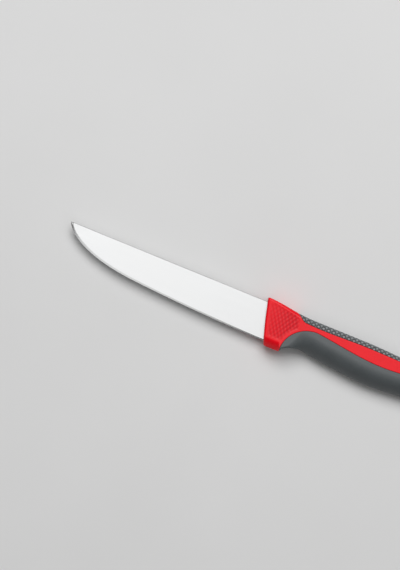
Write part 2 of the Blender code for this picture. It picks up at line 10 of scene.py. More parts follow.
import bpy
import numpy as np
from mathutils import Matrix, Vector

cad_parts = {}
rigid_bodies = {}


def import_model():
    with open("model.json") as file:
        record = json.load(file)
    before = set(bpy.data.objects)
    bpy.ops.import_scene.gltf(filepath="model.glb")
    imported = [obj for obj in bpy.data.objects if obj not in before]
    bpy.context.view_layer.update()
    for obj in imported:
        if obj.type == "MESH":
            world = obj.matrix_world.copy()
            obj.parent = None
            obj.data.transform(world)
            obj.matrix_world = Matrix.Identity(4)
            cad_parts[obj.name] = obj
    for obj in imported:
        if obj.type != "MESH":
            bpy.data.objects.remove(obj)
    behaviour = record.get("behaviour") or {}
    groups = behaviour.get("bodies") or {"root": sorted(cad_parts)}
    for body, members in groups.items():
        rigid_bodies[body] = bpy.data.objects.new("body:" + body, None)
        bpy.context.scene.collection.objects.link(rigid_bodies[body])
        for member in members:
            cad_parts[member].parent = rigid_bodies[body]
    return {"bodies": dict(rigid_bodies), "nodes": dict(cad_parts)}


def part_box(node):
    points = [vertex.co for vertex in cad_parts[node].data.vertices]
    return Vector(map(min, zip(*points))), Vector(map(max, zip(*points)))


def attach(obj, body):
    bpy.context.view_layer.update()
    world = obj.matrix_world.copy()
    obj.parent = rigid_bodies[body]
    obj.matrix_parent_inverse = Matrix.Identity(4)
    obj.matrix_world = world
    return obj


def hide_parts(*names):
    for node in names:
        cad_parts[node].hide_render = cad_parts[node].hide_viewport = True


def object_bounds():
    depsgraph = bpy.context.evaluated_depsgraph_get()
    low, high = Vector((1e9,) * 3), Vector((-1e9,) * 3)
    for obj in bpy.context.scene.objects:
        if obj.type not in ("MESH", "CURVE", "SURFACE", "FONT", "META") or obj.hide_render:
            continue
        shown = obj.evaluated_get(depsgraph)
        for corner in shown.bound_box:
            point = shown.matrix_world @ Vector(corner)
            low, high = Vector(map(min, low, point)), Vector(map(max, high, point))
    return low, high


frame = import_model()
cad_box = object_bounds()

# Blade, as in the part
BLADE_LENGTH = 0.120
BLADE_HEIGHT = 0.0212
EDGE_RISE = 0.0036
BELLY_FROM_POINT = 0.045
BELLY_GRADE = 0.08
BELLY_PULL = 0.033
POINT_HEIGHT = 0.0002
POINT_ANGLE = math.radians(72.5)
POINT_PULL = 0.0045
BLADE_THICKNESS = 0.0018
BEVEL_WIDTH = 0.0007
BEVEL_WIDTH_POINT = 0.0012
BEVEL_SHARE = 0.5
BEVEL_THICKNESS = 0.0005
EDGE_THICKNESS = 0.0001
HEEL_DEPTH = 0.011
TANG_LENGTH = 0.085
TANG_HEIGHT = 0.009
TANG_END_HEIGHT = 0.007
TANG_FILLET = 0.0015

# Handle, as in the part
HANDLE_LENGTH = 0.122
HANDLE_THICKNESS = 0.016
BOLSTER_THICKNESS = 0.0136
BOLSTER_LENGTH = 0.014
GUARD_LIP = 0.0026
GUARD_END = 0.0159
GUARD_STEP = 0.0009
GUARD_STEP_RUN = 0.0004
FRONT_LEAN = 0.0069
FRONT_BOW = 0.0003
FRONT_RADIUS = 0.0011
LEAN_RUN = 0.030
BOLSTER_RISE = 0.0027
SHOULDER_AT = 0.0045
SHOULDER_RISE = 0.0024
SLOPE_END_AT = 0.0215
SLOPE_END_RISE = 0.00035
BACK_FLAT_START = 0.0283
BACK_FLAT_END = 0.061
BACK_BEND_AT = 0.081
BACK_BEND_DROP = 0.00075
BACK_END_DROP = 0.0055
NOTCH_AT = 0.0271
NOTCH_DROP = 0.0185
NOTCH_FULLNESS = 1.7
SWELL_AT = 0.044
SWELL_DROP = 0.0208
PALM_AT = 0.0695
PALM_DROP = 0.02285
WAIST_FROM_BUTT = 0.023
WAIST_DROP = 0.0212
BEAK_FROM_BUTT = 0.008
BEAK_DROP = 0.0256
BUTT_DROP = 0.0155
BUTT_BACK_RUN = 0.018
BUTT_BELLY_RUN = 0.0085
BUTT_SIDE_RUN = 0.012
BACK_ROUND_ACROSS_FRONT = 0.0012
BACK_ROUND_ACROSS = 0.0040
BACK_ROUND_DOWN_FRONT = 0.0010
BACK_ROUND_DOWN = 0.0026
GUARD_ROUND_ACROSS = 0.0045
GUARD_ROUND_DOWN = 0.0052
GUARD_ROUND_END = 0.0108
NOTCH_ROUND_START = 0.0129
NOTCH_ROUND_ACROSS = 0.0007
NOTCH_ROUND_DOWN = 0.0010
PALM_ROUND_ACROSS = 0.0077
PALM_ROUND_DOWN = 0.0106
BEND_LEAD = 0.60
GUARD_BEND_LEAD = 0.35
BEND_FOOT = 0.10
BACK_SHARE = 0.35
SMALLEST_FLAT = 0.0003
STRIPE_NECK_AT = 0.0328
STRIPE_NECK_DROP = 0.00585
STRIPE_LOW_AT = 0.0725
STRIPE_LOW_DROP = 0.00992
STRIPE_WAIST_DROP = 0.0078
GUARD_PARTING_DROP = 0.022
BELLY_GRIP_FROM_BUTT = 0.0105
STRIP_START = 0.0184
STRIP_START_RISE = 0.0006
STRIP_SLOPE_AT = 0.0204
STRIP_SLOPE_DROP = 0.0006
STRIP_TURN_AT = 0.0221
STRIP_TURN_DROP = 0.0021
STRIP_FULL_AT = 0.0242
STRIP_DROP = 0.0031
STRIP_WIDE_AT = 0.036
STRIP_WIDE_DROP = 0.00347
STRIP_NARROW_AT = 0.061
STRIP_NARROW_DROP = 0.00287
STRIP_BEND_AT = 0.081
STRIP_BEND_DROP = 0.00315
STRIP_TAIL_FROM_BUTT = 0.016
STRIP_TAIL_DROP = 0.0059
STRIP_TAIL_RUN = 0.006
STRIP_TAIL_RISE = 0.003
SOFT_WALL = 0.002

GRIND_TAPER = (BLADE_THICKNESS - BEVEL_THICKNESS) / (BLADE_HEIGHT - BEVEL_WIDTH)
GUARD_DROP = BLADE_HEIGHT + GUARD_LIP
HANDLE_HALF = HANDLE_THICKNESS / 2
WAIST_AT = HANDLE_LENGTH - WAIST_FROM_BUTT
BEAK_AT = HANDLE_LENGTH - BEAK_FROM_BUTT
TANG_MIDDLE = -NOTCH_DROP / 2

# Softer than in the part: where the notch's tight rounding ends, and where the palm's wide one is full
NOTCH_ACROSS_END = 0.0190
PALM_ACROSS_START = 0.0325
NOTCH_DOWN_END = 0.0165
PALM_DOWN_START = 0.0252

# Longer than in the part: the blade's bevel runs on, until it is out of sight under the guard
GRIND_END = 0.0075

# Finer than the part: the seams between the mouldings and round the steel
SEAM_GAP = 0.00012          # width of the seam at its foot
SEAM_ROUND = 0.00022        # rounding of the edges along it
SEAM_REACH = 0.0011         # the surface makes room for the rounding over this distance
BLADE_SEAM = 0.00004
SPINE_CHAMFER = 0.00018     # along the long edges of the blade's back
CHAMFER_SHARE = 0.25        # at most this share of the blade's depth and thickness, near its point
BLADE_CREASE = math.radians(4)    # edges that turn more than this look sharp

# Rows of the bolster's front face, as (depth behind it, share of the way from its rim to the slot)
FRONT_ROWS = ((0.0005, 1.0), (0.00012, 1.0), (0.0, 0.97), (0.0, 0.7), (0.0, 0.4), (0.0, 0.15))

# Dimples on the bolster
PAD_FRONT_MARGIN = 0.0010
PAD_TOP_MARGIN = 0.0010
PAD_PARTING_MARGIN = 0.0010
PAD_LOW = 0.0182
PAD_MIDDLE = (0.0105, -0.0075)
PAD_REACH = 0.0115
PAD_FADE = 0.0019
PAD_PITCH = 0.00195         # between neighbouring rows
PAD_ANGLE = math.radians(32)
PAD_DEPTH = 0.00024
PAD_WAVE = 0.40             # half height of its waves as a share of the depth
PAD_FRONT_SHARE = 0.32      # the dimples near the blade have this share of the full depth
PAD_FACING = 0.7            # they lie only where the normal points this far to the side

# Diamond pattern on the spine grip
KNURL_LENGTH = 0.00307
KNURL_WIDTH = 0.00357
KNURL_START = 0.0011
KNURL_DEPTH = 0.00045
KNURL_FLANK = 0.00088       # from the middle of a groove to the top of its flank

# Places around a section: 0 in the middle of the back, one more for each stretch, negative on the far side
SIDE_START = 2.0
SIDE_END = 3.0
BELLY_MIDDLE = 5.0

# Fineness of the meshes
DENSE_STEP = 0.0002
PLAIN_STEP = 0.0006
KNURL_STEP = 0.00021
DENSE_END = 0.0235          # the core is dense up to here, behind its dimples
CORE_SIDE_STEP = 0.0098
CORE_TURNS = (0.12, 0.14, CORE_SIDE_STEP, 0.042, 0.17)     # steps around it, stretch by stretch
CORE_THINNING = 4           # behind its dimples about one place in so many is left on its side
BELLY_TURNS = (0.04, 0.035, 0.2)
SPINE_TURNS = (0.055, 0.042, 0.025)
SPINE_AROUND_END = 2.45
PARTING_TURN_POINTS = 40
STRIPE_POINTS = 60
STRIP_POINTS = 120
STRIP_TAIL_POINTS = 30
BELLY_EDGE_STEPS = 120
STRAIGHT_EDGE_STEPS = 75
FRONT_STEPS = 6
SEAM_STEPS = 3
FILLET_STEPS = 6
TANG_END_STEPS = 12
BUTT_STATIONS = 26
BUTT_LAST_TURN = math.radians(88)
SETTLE_STEPS = 12
QUARTER_TURN = math.radians(90)
SMALL_STEP = 1e-6
PROBE = 0.00002             # to either side of the place where a slope is measured
TURN_PROBE = 0.01           # the same, in places around the section
LEAST_SLOPE = 0.1           # keeps the moves small where the surface turns away from the side view

# Materials: colours, shares of a noise's range, and noises in waves to the metre
WHITE = (1.0, 1.0, 1.0)
WIDE_SPAN = (0.25, 0.75)
SPAN = (0.3, 0.7)
NARROW_SPAN = (0.35, 0.65)
STEEL_TONES = ((0.86, 0.865, 0.865), (0.90, 0.905, 0.905))
STEEL_SMEAR = (0.985, 0.987, 0.99)
STEEL_ROUGHNESS = (0.165, 0.185)
STEEL_SMEAR_ROUGHNESS = 0.012
STEEL_GRIND = {"scale": 5200.0, "detail": 2.0, "roughness": 0.6, "stretch": (0.006, 1.0, 0.25)}
STEEL_SCRATCHES = {
    "scale": 1400.0, "detail": 2.0, "roughness": 0.5, "stretch": (0.012, 1.0, 0.25), "seed": 3.1}
STEEL_CLOUDS = {"scale": 55.0, "detail": 3.0, "roughness": 0.6, "stretch": (0.5, 1.0, 1.0), "seed": 7.7}
GRIND_HEIGHT = 0.000002
SCRATCH_HEIGHT = 0.000003
SCRATCH_STRENGTH = 0.8
PLASTIC_CLOUDS = {"scale": 60.0, "detail": 3.0, "roughness": 0.6}
PLASTIC_SPECKS = {"scale": 900.0, "detail": 2.0, "roughness": 0.5, "seed": 4.3}
PLASTIC_GRAIN = {"scale": 3200.0, "detail": 2.0, "roughness": 0.6, "seed": 9.1}
PLASTIC_FLECK = (0.95, 0.95, 0.95)
FLECK_ROUGHNESS = 0.05      # the specks change the roughness by so much either way
CLOUD_ROUGHNESS = 0.03
DUST_ROUGHNESS = 0.22       # more in the depth of a pattern
SPECK_HEIGHT_SHARE = 1.5    # height of the specks as a share of the grain's
SPECK_STRENGTH = 0.6
RED_TONES = ((0.82, 0.001, 0.009), (0.87, 0.003, 0.012))
# Painted shade at the bottom of the bolster's dimples: its colour, and its share at the full depth
RED_HOLLOW_SHADE = (0.46, 0.0, 0.008)
RED_HOLLOW_SHADE_SHARE = 0.9
RED_ROUGHNESS = 0.38
RED_SPECULAR = 0.27
RED_GRAIN_HEIGHT = 0.000008
BELLY_GREY = (0.078, 0.088, 0.092)
# Painted light: the spine grip is the belly grip's soft grey, painted lighter on the side towards the lamps
SPINE_GREY_PAINTED_LIGHTER = (0.25, 0.268, 0.277)
SOFT_LOW = 0.93
SOFT_HIGH = 1.06
# Painted shade in the grooves of a soft grip's pattern: its tone as a share of the grey, and its share at the
# full depth
SOFT_HOLLOW_SHADE = 0.12
SOFT_HOLLOW_SHADE_SHARE = 0.95
SOFT_ROUGHNESS = 0.42
SOFT_SPECULAR = 0.5
SOFT_GRAIN_HEIGHT = 0.000016
FLOOR_TONES = ((0.66, 0.66, 0.659), (0.68, 0.68, 0.679))
FLOOR_CLOUDS = {"scale": 9.0, "detail": 3.0, "roughness": 0.5}
FLOOR_ROUGHNESS = 0.9
FLOOR_SPECULAR = 0.1
FLOOR_REACH = 6.0

# Camera
PHOTO_TURN = math.radians(22.23)
PIXELS_PER_METRE = 1768.0
PHOTO_HEIGHT = 570
PHOTO_CENTRE = (-0.0390, -0.00575)
CAMERA_DISTANCE = 2.0
SENSOR = 36.0               # in millimetres

# Light: (right of the picture's middle, up from it, above the floor), size, watts to the square metre
AMBIENT = 0.08
LAMPS = {
    "overhead": ((0.45, -0.15, 1.80), (2.2, 2.35), 2.2),
    "patch": ((-0.1695, -0.0712, 1.79), (0.36, 0.60), 0.52),
    "key": ((0.08, 0.77, 1.53), (1.1, 1.1), 20.6),
}

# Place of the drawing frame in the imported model, whose box holds every point
blade_low, blade_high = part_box("blade")
SHIFT = np.array([blade_low.x + BLADE_LENGTH, blade_high.y, HANDLE_HALF])
BOX_LOW = np.array(cad_box[0])
BOX_HIGH = np.array(cad_box[1])


# Reckoning

def mix(a, b, share):
    return a + (b - a) * share


def spread(start, end, step):
    """Even places from start up to, and without, end, at most a step apart."""
    count = max(1, math.ceil((end - start) / step - SMALL_STEP))
    return start + (end - start) * np.arange(count) / count


def smooth_step(share):
    share = np.clip(share, 0.0, 1.0)
    return share * share * (3 - 2 * share)


def smooth_curve(points):
    """A monotone cubic through the points: it is smooth and never overshoots them."""
    xs, ys = np.array(points, float).T
    steps = np.diff(xs)
    grades = np.diff(ys) / steps
    inner = [2 * a * b / (a + b) if a * b > 0 else 0.0 for a, b in zip(grades, grades[1:])]
    slopes = np.array([grades[0], *inner, grades[-1]])

    def height(x):
        x = np.clip(x, xs[0], xs[-1])
        i = np.clip(np.searchsorted(xs, x, side="right") - 1, 0, len(steps) - 1)
        t = (x - xs[i]) / steps[i]
        start = ys[i] * (1 + 2 * t) + slopes[i] * steps[i] * t
        end = ys[i + 1] * (3 - 2 * t) + slopes[i + 1] * steps[i] * (t - 1)
        return start * (1 - t) ** 2 + end * t ** 2

    return height


def quarter_round(share, fullness=2.0):
    """Height of a quarter of a superellipse: 1 at its middle (share 0) and 0 at its end (share 1)."""
    return (1 - np.clip(share, 0.0, 1.0) ** fullness) ** (1 / fullness)


# Outline of the handle

back_open = smooth_curve([
    (-FRONT_RADIUS, BOLSTER_RISE),
    (SHOULDER_AT, SHOULDER_RISE),
    (SLOPE_END_AT, SLOPE_END_RISE),
    (BACK_FLAT_START, 0.0),
    (BACK_FLAT_END, 0.0),
    (BACK_BEND_AT, -BACK_BEND_DROP),
    (HANDLE_LENGTH, -BACK_END_DROP),
])
palm_curve = smooth_curve([
    (NOTCH_AT, -NOTCH_DROP),
    (SWELL_AT, -SWELL_DROP),
    (PALM_AT, -PALM_DROP),
    (WAIST_AT, -WAIST_DROP),
    (BEAK_AT, -BEAK_DROP),
    (HANDLE_LENGTH, -BEAK_DROP),
])
side_open = smooth_curve([
    (0.0, BOLSTER_THICKNESS / 2),
    (BOLSTER_LENGTH, HANDLE_HALF),
    (HANDLE_LENGTH, HANDLE_HALF),
])
belly_across_at = smooth_curve([
    (0.0, GUARD_ROUND_ACROSS),
    (GUARD_ROUND_END, GUARD_ROUND_ACROSS),
    (NOTCH_ROUND_START, NOTCH_ROUND_ACROSS),
    (NOTCH_ACROSS_END, NOTCH_ROUND_ACROSS),
    (PALM_ACROSS_START, PALM_ROUND_ACROSS),
    (HANDLE_LENGTH, PALM_ROUND_ACROSS),
])
belly_down_at = smooth_curve([
    (0.0, GUARD_ROUND_DOWN),
    (GUARD_ROUND_END, GUARD_ROUND_DOWN),
    (NOTCH_ROUND_START, NOTCH_ROUND_DOWN),
    (NOTCH_DOWN_END, NOTCH_ROUND_DOWN),
    (PALM_DOWN_START, PALM_ROUND_DOWN),
    (HANDLE_LENGTH, PALM_ROUND_DOWN),
])
belly_lead_at = smooth_curve([
    (0.0, GUARD_BEND_LEAD),
    (GUARD_ROUND_END, GUARD_BEND_LEAD),
    (NOTCH_ROUND_START, BEND_LEAD),
    (HANDLE_LENGTH, BEND_LEAD),
])


def close_butt(height, x, run):
    """Draw an open outline in to the middle of the butt over the last stretch of the handle."""
    share = (x - (HANDLE_LENGTH - run)) / run
    return mix(-BUTT_DROP, height, quarter_round(share))


def back_at(x):
    return close_butt(back_open(x), x, BUTT_BACK_RUN)


def grip_belly_at(x):
    """Underside of the handle behind the guard, drawn on forwards at the height of its front end."""
    start = GUARD_END + GUARD_STEP_RUN
    share = (NOTCH_AT - np.maximum(x, start)) / (NOTCH_AT - start)
    rise = GUARD_DROP - GUARD_STEP - NOTCH_DROP
    notch = -NOTCH_DROP - rise * (1 - quarter_round(share, NOTCH_FULLNESS))
    return np.where(x < NOTCH_AT, notch, close_butt(palm_curve(x), x, BUTT_BELLY_RUN))


def core_belly_at(x):
    """Underside of the core: the flat of the guard, and the same as the grip's behind it."""
    return np.where(x < GUARD_END + PLAIN_STEP, -GUARD_DROP, grip_belly_at(x))


def lean(y):
    share = -y / GUARD_DROP
    return FRONT_LEAN * share - 4 * FRONT_BOW * share * (1 - share)


def leaned(s, y):
    """Place along the handle of a point at height y on the section with station s."""
    return s + lean(y) * np.maximum(0.0, 1 - s / LEAN_RUN)


def height_at_station(line, s):
    """Height at which a leaning section meets an outline."""
    x = s
    for _ in range(SETTLE_STEPS):
        x = leaned(s, line(x))
    return line(x)


def side_of(around):
    """1 on the near side, 0 included, and -1 on the far side."""
    return np.where(around < 0.0, -1.0, 1.0)


def surface(s, around, belly, inset=0.0):
    """Points of the handle's form at stations s and places around the section.

    around runs from 0 on the back through 1 (end of its flat), 2 (end of its rounding), 3 (end of the side)
    and 4 (end of the belly's rounding) to 5 under the belly. It is negative on the far side.
    """
    closing = quarter_round((s - (HANDLE_LENGTH - BUTT_SIDE_RUN)) / BUTT_SIDE_RUN)
    before = np.clip(FRONT_RADIUS - s, 0.0, FRONT_RADIUS)
    inset = inset + FRONT_RADIUS - np.sqrt(FRONT_RADIUS ** 2 - before ** 2)
    half = np.maximum(side_open(s) * closing - inset, SMALL_STEP)
    top = height_at_station(back_at, s) - inset
    bottom = height_at_station(belly, s) + inset
    share = np.minimum(s / BACK_FLAT_START, 1.0)

    def size(wanted, limit):
        least = np.minimum(SMALLEST_FLAT, limit / 2)
        return np.maximum(np.minimum(wanted - inset, limit - least), least)

    room = np.maximum(top - bottom, SMALL_STEP)
    back_down = size(mix(BACK_ROUND_DOWN_FRONT, BACK_ROUND_DOWN, share), room * BACK_SHARE)
    belly_down = size(belly_down_at(s), room * (1 - BACK_SHARE))
    back_across = size(mix(BACK_ROUND_ACROSS_FRONT, BACK_ROUND_ACROSS, share) * closing, half)
    belly_across = size(belly_across_at(s) * closing, half)
    place = np.abs(around)
    back_flat, back_turn, side, belly_turn, belly_flat = [np.clip(place - i, 0.0, 1.0) for i in range(5)]
    back_turn = back_turn * QUARTER_TURN
    lead = 3 * belly_lead_at(s) * belly_turn * (1 - belly_turn) ** 2
    foot = 3 * belly_turn ** 2 * (1 - belly_turn)
    end = belly_turn ** 3
    y = top - back_down * (1 - np.cos(back_turn)) - belly_down * (lead + foot + end)
    y = y - (top - bottom - back_down - belly_down) * side
    z = (half - back_across) * back_flat + back_across * np.sin(back_turn)
    z = z - belly_across * (end + (1 - BEND_FOOT) * foot) - (half - belly_across) * belly_flat
    return np.stack([leaned(s, y), y, z * side_of(around)], axis=-1)


# Parting lines, seen from the side

def belly_parting():
    neck_run = STRIPE_NECK_AT - GUARD_END
    neck_rise = GUARD_PARTING_DROP - STRIPE_NECK_DROP
    end = HANDLE_LENGTH - BELLY_GRIP_FROM_BUTT
    tail_run = end - WAIST_AT
    tail_rise = GUARD_PARTING_DROP - STRIPE_WAIST_DROP
    stripe = smooth_curve([
        (STRIPE_NECK_AT, -STRIPE_NECK_DROP),
        (STRIPE_LOW_AT, -STRIPE_LOW_DROP),
        (WAIST_AT, -STRIPE_WAIST_DROP),
    ])
    below = -2 * GUARD_DROP
    points = [(GUARD_END, below)]
    turn = np.linspace(QUARTER_TURN, 0.0, PARTING_TURN_POINTS)[:-1]
    neck_y = -GUARD_PARTING_DROP + neck_rise * np.cos(turn)
    points += list(zip(STRIPE_NECK_AT - neck_run * np.sin(turn), neck_y))
    along = np.linspace(STRIPE_NECK_AT, WAIST_AT, STRIPE_POINTS)[:-1]
    points += list(zip(along, stripe(along)))
    turn = np.linspace(0.0, QUARTER_TURN, PARTING_TURN_POINTS)
    tail_y = -GUARD_PARTING_DROP + tail_rise * np.cos(turn)
    points += list(zip(WAIST_AT + tail_run * np.sin(turn), tail_y))
    points.append((end, below))
    return np.array(points)


def strip_parting():
    tail = HANDLE_LENGTH - STRIP_TAIL_FROM_BUTT
    line = smooth_curve([
        (STRIP_START, STRIP_START_RISE),
        (STRIP_SLOPE_AT, -STRIP_SLOPE_DROP),
        (STRIP_TURN_AT, -STRIP_TURN_DROP),
        (STRIP_FULL_AT, -STRIP_DROP),
        (STRIP_WIDE_AT, -STRIP_WIDE_DROP),
        (STRIP_NARROW_AT, -STRIP_NARROW_DROP),
        (STRIP_BEND_AT, -STRIP_BEND_DROP),
        (tail, -STRIP_TAIL_DROP),
    ])
    above = GUARD_DROP
    points = [(STRIP_START, above)]
    along = np.linspace(STRIP_START, tail, STRIP_POINTS)[:-1]
    points += list(zip(along, line(along)))
    turn = np.linspace(0.0, QUARTER_TURN, STRIP_TAIL_POINTS)
    rise = STRIP_TAIL_RISE * (1 - np.cos(turn))
    points += list(zip(tail + STRIP_TAIL_RUN * np.sin(turn), -STRIP_TAIL_DROP + rise))
    points.append((tail + STRIP_TAIL_RUN, above))
    return np.array(points)


def distance_inside(outline, points):
    """Distance from an outline in the side view, positive inside it and negative outside."""
    place = points[:, :2]
    nearest = np.full(len(place), np.inf)
    inside = np.zeros(len(place), bool)
    for start, end in zip(outline, np.roll(outline, -1, axis=0)):
        side = end - start
        share = np.clip(((place - start) @ side) / (side @ side), 0.0, 1.0)
        gap = place - start - share[:, None] * side
        nearest = np.minimum(nearest, np.einsum("ij,ij->i", gap, gap))
        if start[1] != end[1]:
            spans = (start[1] > place[:, 1]) != (end[1] > place[:, 1])
            crossing = start[0] + (place[:, 1] - start[1]) / side[1] * side[0]
            inside ^= spans & (place[:, 0] < crossing)
    return np.sqrt(nearest) * np.where(inside, 1.0, -1.0)


BELLY_OUTLINE = belly_parting()
STRIP_OUTLINE = strip_parting()


def belly_room(points):
    return distance_inside(BELLY_OUTLINE, points)


def strip_room(points):
    return distance_inside(STRIP_OUTLINE, points)


def red_face(points):
    """Distance from both rooms: positive where the core shows."""
    return -np.maximum(belly_room(points), strip_room(points))


# Sheets: points with their normals and their place inside, joined by faces

def half_around(start, turns, end=BELLY_MIDDLE):
    """Places around half a section up to, and without, end, with a step for each stretch from start on."""
    stretches = [spread(start + i, min(start + i + 1, end), turn) for i, turn in enumerate(turns)]
    return np.concatenate(stretches)


def sheet_points(stations, around, belly):
    """Outer points, normals and inner points of a grid of stations and places around, row by row."""
    s, a = [grid.ravel() for grid in np.meshgrid(stations, around, indexing="ij")]
    ahead = surface(s + PROBE, a, belly) - surface(np.maximum(s - PROBE, 0.0), a, belly)
    beside = surface(s, a + TURN_PROBE, belly) - surface(s, a - TURN_PROBE, belly)
    normal = np.cross(beside, ahead)
    normal[np.linalg.norm(normal, axis=1) < SMALL_STEP ** 2] = (1.0, 0.0, 0.0)
    normal /= np.linalg.norm(normal, axis=1)[:, None]
    return surface(s, a, belly), normal, surface(s, a, belly, SOFT_WALL)


def numbered_rows(start, count, length):
    """Numbers of the points of a grid, row by row."""
    return [list(range(start + i * length, start + (i + 1) * length)) for i in range(count)]


def row_faces(first, second, closed):
    """Faces between two rows of points of the same length."""
    count = len(first)
    last = count if closed else count - 1
    faces = []
    for j in range(last):
        k = (j + 1) % count
        faces.append((first[j], first[k], second[k], second[j]))
    return faces


def grid_faces(rows, closed):
    """Faces between each row and the next."""
    faces = []
    for first, second in zip(rows, rows[1:]):
        faces += row_faces(first, second, closed)
    return faces


def thinning_faces(first, second, kept):
    """Faces between a row and a thinner one, which holds only the kept places of the first."""
    faces = []
    count = len(first)
    for j, place in enumerate(kept):
        following = kept[(j + 1) % len(kept)]
        span = (following - place) % count
        near = [first[(place + i) % count] for i in range(span + 1)]
        faces.append((*near, second[(j + 1) % len(kept)], second[j]))
    return faces


def end_faces(row, turned):
    """A closed row filled across, between its two sides."""
    count = len(row)
    faces = []
    for j in range(count // 2):
        near = (row[j], row[j + 1], row[count - j - 1], row[(count - j) % count])
        face = tuple(dict.fromkeys(near))
        if len(face) > 2:
            faces.append(face[::-1] if turned else face)
    return faces


def split(faces, field, arrays):
    """Cut faces where a field is 0. Gives the faces on either side, the cut's edges and the longer arrays."""
    above = (field > 0).tolist()
    count = len(field)
    cuts = {}

    def crossing(i, j):
        return cuts.setdefault((min(i, j), max(i, j)), count + len(cuts))

    upper, lower, edges = [], [], []
    for face in faces:
        sides = [above[i] for i in face]
        if all(sides):
            upper.append(face)
        elif not any(sides):
            lower.append(face)
        else:
            for k in range(1, len(face) - 1):
                cut_triangle((face[0], face[k], face[k + 1]), above, crossing, upper, lower, edges)
    i, j = np.array(list(cuts)).T
    share = field[i] / (field[i] - field[j])
    longer = [np.concatenate([array, mix(array[i].T, array[j].T, share).T]) for array in arrays]
    return upper, lower, edges, longer


def cut_triangle(triangle, above, crossing, upper, lower, edges):
    high, low, ends = [], [], {}
    for i, j in zip(triangle, triangle[1:] + triangle[:1]):
        (high if above[i] else low).append(i)
        if above[i] != above[j]:
            cut = crossing(i, j)
            high.append(cut)
            low.append(cut)
            ends[above[i]] = cut
    if high:
        upper.append(tuple(high))
    if low:
        lower.append(tuple(low))
    if ends:
        edges.append((ends[True], ends[False]))


def tangents(room, points, normals):
    """Moves in the surface that lead one metre further into a room, for each metre of distance."""
    slope = np.zeros_like(points)
    for axis in (0, 1):
        shift = np.zeros(3)
        shift[axis] = PROBE
        slope[:, axis] = (room(points + shift) - room(points - shift)) / (2 * PROBE)
    flat = slope - normals * np.einsum("ij,ij->i", slope, normals)[:, None]
    strength = np.maximum(np.einsum("ij,ij->i", flat, flat), LEAST_SLOPE)
    return flat / strength[:, None]


def draw_back(room, points, normals, margin):
    """Move the points near the edge of a room away from it, so that its edge lies a margin inside."""
    distance = room(points)
    near = (distance < SEAM_REACH) & (distance > -SEAM_REACH)
    moved = points.copy()
    away = margin * (1 - np.clip(distance[near], 0.0, SEAM_REACH) / SEAM_REACH)
    moved[near] += tangents(room, points[near], normals[near]) * away[:, None]
    return moved


class Body:
    """A closed mesh in the making: points, how deep each lies in a pattern, and faces."""

    def __init__(self):
        self.points = []
        self.depths = []
        self.faces = []
        self.count = 0

    def add(self, points, depths=None):
        """Adds points and gives the number of the first."""
        start = self.count
        self.points.append(points)
        self.depths.append(np.zeros(len(points)) if depths is None else depths)
        self.count += len(points)
        return start

    def seam_rows(self, room, edges, points, normals, depths, gap):
        """Rows of points over the rounding round the edge of a sheet, each looked up by its edge's point."""
        ids = sorted({i for edge in edges for i in edge})
        base = points[ids]
        normal = normals[ids]
        depth = depths[ids]
        inwards = tangents(room, base, normal)
        rows = []
        for step in range(1, SEAM_STEPS + 1):
            angle = QUARTER_TURN * step / SEAM_STEPS
            side = gap + SEAM_ROUND * (1 - math.sin(angle))
            down = SEAM_ROUND * (1 - math.cos(angle)) + depth
            start = self.add(base + inwards * side - normal * down[:, None], depth)
            rows.append({i: start + k for k, i in enumerate(ids)})
        return rows

    def join_seam(self, edges, seam, inner_start):
        """Faces from the edge of the outer sheet, over the rows of its seam, to the inner sheet."""
        own = {i: i for edge in edges for i in edge}
        foot = {i: i + inner_start for i in own}
        rows = [own, *seam, foot]
        for first, second in zip(rows, rows[1:]):
            for out, back in edges:
                self.faces.append((first[back], first[out], second[out], second[back]))

    def finish(self, name):
        """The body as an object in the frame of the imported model."""
        used = sorted({i for face in self.faces for i in face})
        lookup = np.full(self.count, -1)
        lookup[used] = np.arange(len(used))
        points = np.clip(np.concatenate(self.points)[used] + SHIFT, BOX_LOW, BOX_HIGH)
        faces = [tuple(int(lookup[i]) for i in face) for face in self.faces]
        mesh = bpy.data.meshes.new(name)
        mesh.from_pydata(points.tolist(), [], faces)
        mesh.validate()
        mesh.shade_smooth()
        hollow = mesh.attributes.new("hollow", "FLOAT", "POINT")
        hollow.data.foreach_set("value", np.concatenate(self.depths)[used].astype(np.float32))
        obj = bpy.data.objects.new(name, mesh)
        bpy.context.scene.collection.objects.link(obj)
        return obj


# Patterns

def pad_relief(points, normals):
    """How deep each point of the bolster's side lies in its dimples."""
    x, y = points[:, 0], points[:, 1]
    front = x - leaned(0.0, y) - PAD_FRONT_MARGIN
    back = back_at(x) - y - PAD_TOP_MARGIN
    low = y + PAD_LOW
    parting = red_face(points) - PAD_PARTING_MARGIN
    rear = PAD_REACH - np.hypot(x - PAD_MIDDLE[0], y - PAD_MIDDLE[1])
    inside = np.minimum.reduce([front, back, low, parting, rear])
    mask = smooth_step(inside / PAD_FADE) * (np.abs(normals[:, 2]) > PAD_FACING)
    strength = mix(PAD_FRONT_SHARE, 1.0, smooth_step(x / STRIP_START))
    along = x / PAD_PITCH * math.cos(PAD_ANGLE)
    across = y / PAD_PITCH * math.sin(PAD_ANGLE)
    dimple = 1 - PAD_WAVE + PAD_WAVE * np.cos(2 * math.pi * along) * np.cos(2 * math.pi * across)
    return PAD_DEPTH * mask * strength * dimple


def knurl_relief(points, run):
    """How deep each point of the spine grip lies in its diamonds; run is the way round from its middle."""
    along = (points[:, 0] - KNURL_START) / KNURL_LENGTH
    across = run / KNURL_WIDTH
    pitch = KNURL_LENGTH * KNURL_WIDTH / math.hypot(KNURL_LENGTH, KNURL_WIDTH)
    nearest = np.inf
    for place in (along + across, along - across):
        nearest = np.minimum(nearest, np.abs(place - np.round(place)) * pitch)
    return KNURL_DEPTH * (1 - smooth_step(nearest / KNURL_FLANK))


